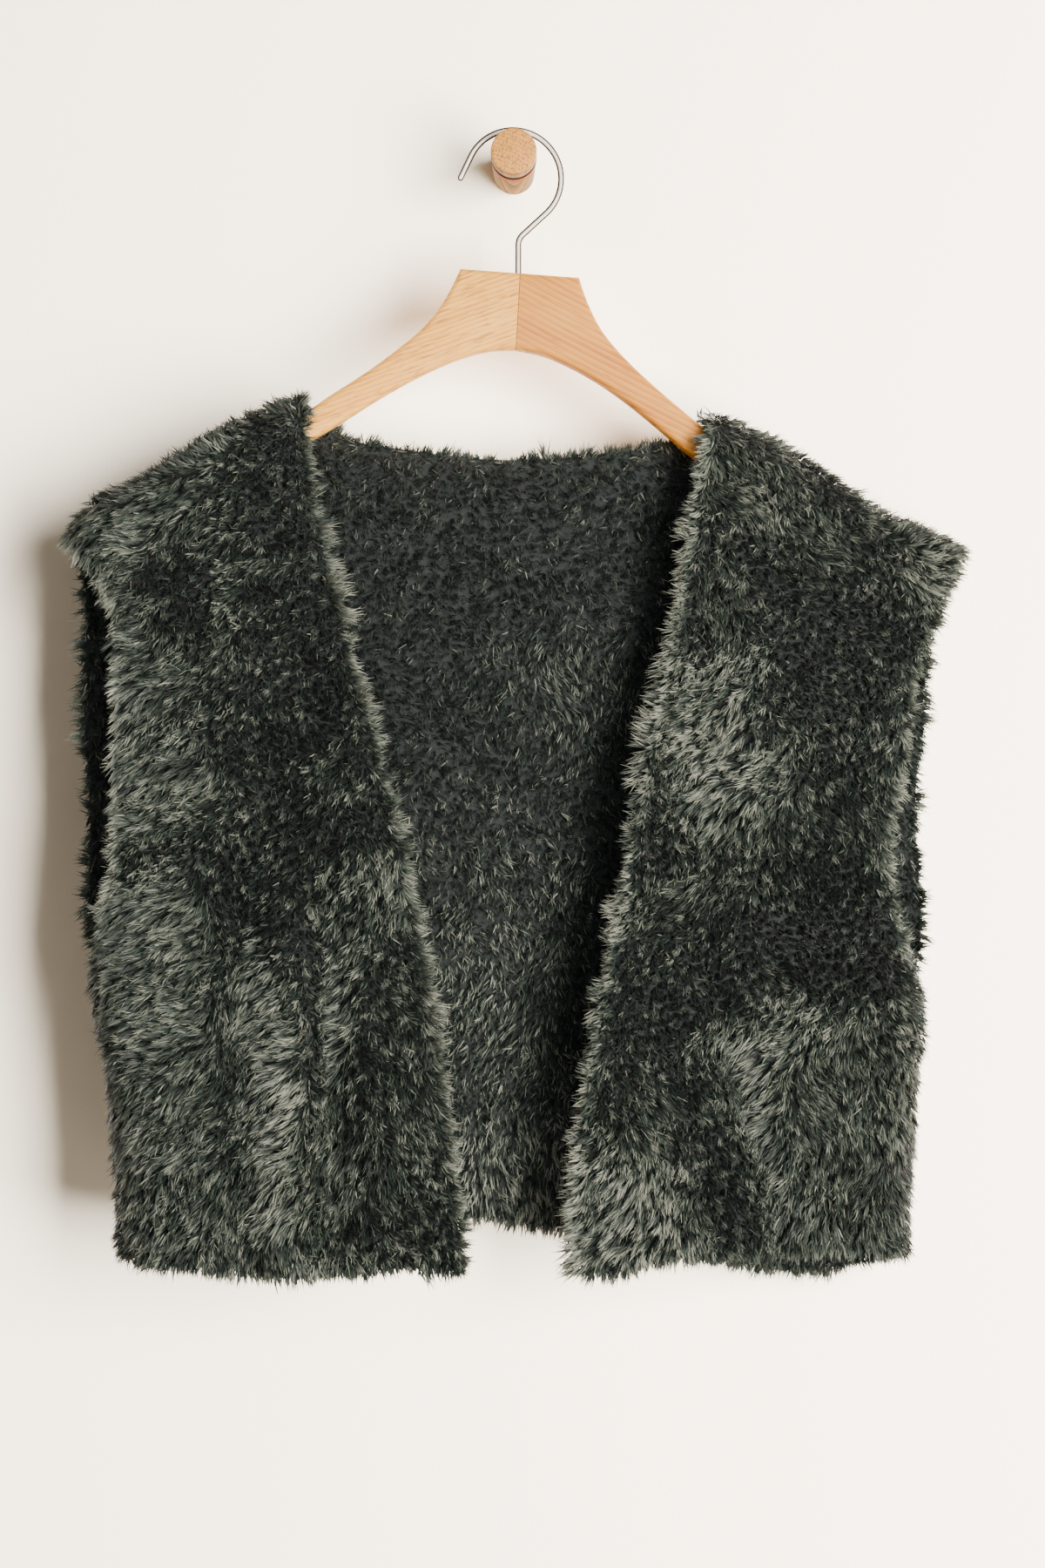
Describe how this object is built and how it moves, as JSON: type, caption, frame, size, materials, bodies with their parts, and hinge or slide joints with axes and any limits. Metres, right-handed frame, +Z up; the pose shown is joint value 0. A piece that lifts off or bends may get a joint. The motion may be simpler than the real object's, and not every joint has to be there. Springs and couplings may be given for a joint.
{
  "type": "faux fur vest on a wooden hanger and wall peg",
  "caption": "Cropped open-front sleeveless faux fur vest hanging on a flat wooden hanger whose wire hook rests on a turned wall peg.",
  "frame": {"origin": "centre of the wall peg's flat back face, on the wall", "axes": "+Z up, +Y into the wall, +X to the right of someone facing the wall"},
  "size_m": [0.5206, 0.1004, 0.6655],
  "materials": {
    "fur": "long soft pile, grey-green",
    "beech": "sanded, clear matt lacquer",
    "steel": "brushed",
    "oak": "turned, sanded, end grain on its cap"
  },
  "bodies": {
    "root": {"vest_front_left": "fur", "vest_front_right": "fur", "vest_back": "fur", "hanger_wood_left": "beech", "hanger_wood_right": "beech", "hanger_hook": "steel", "wall_peg": "oak"}
  },
  "joints": []
}
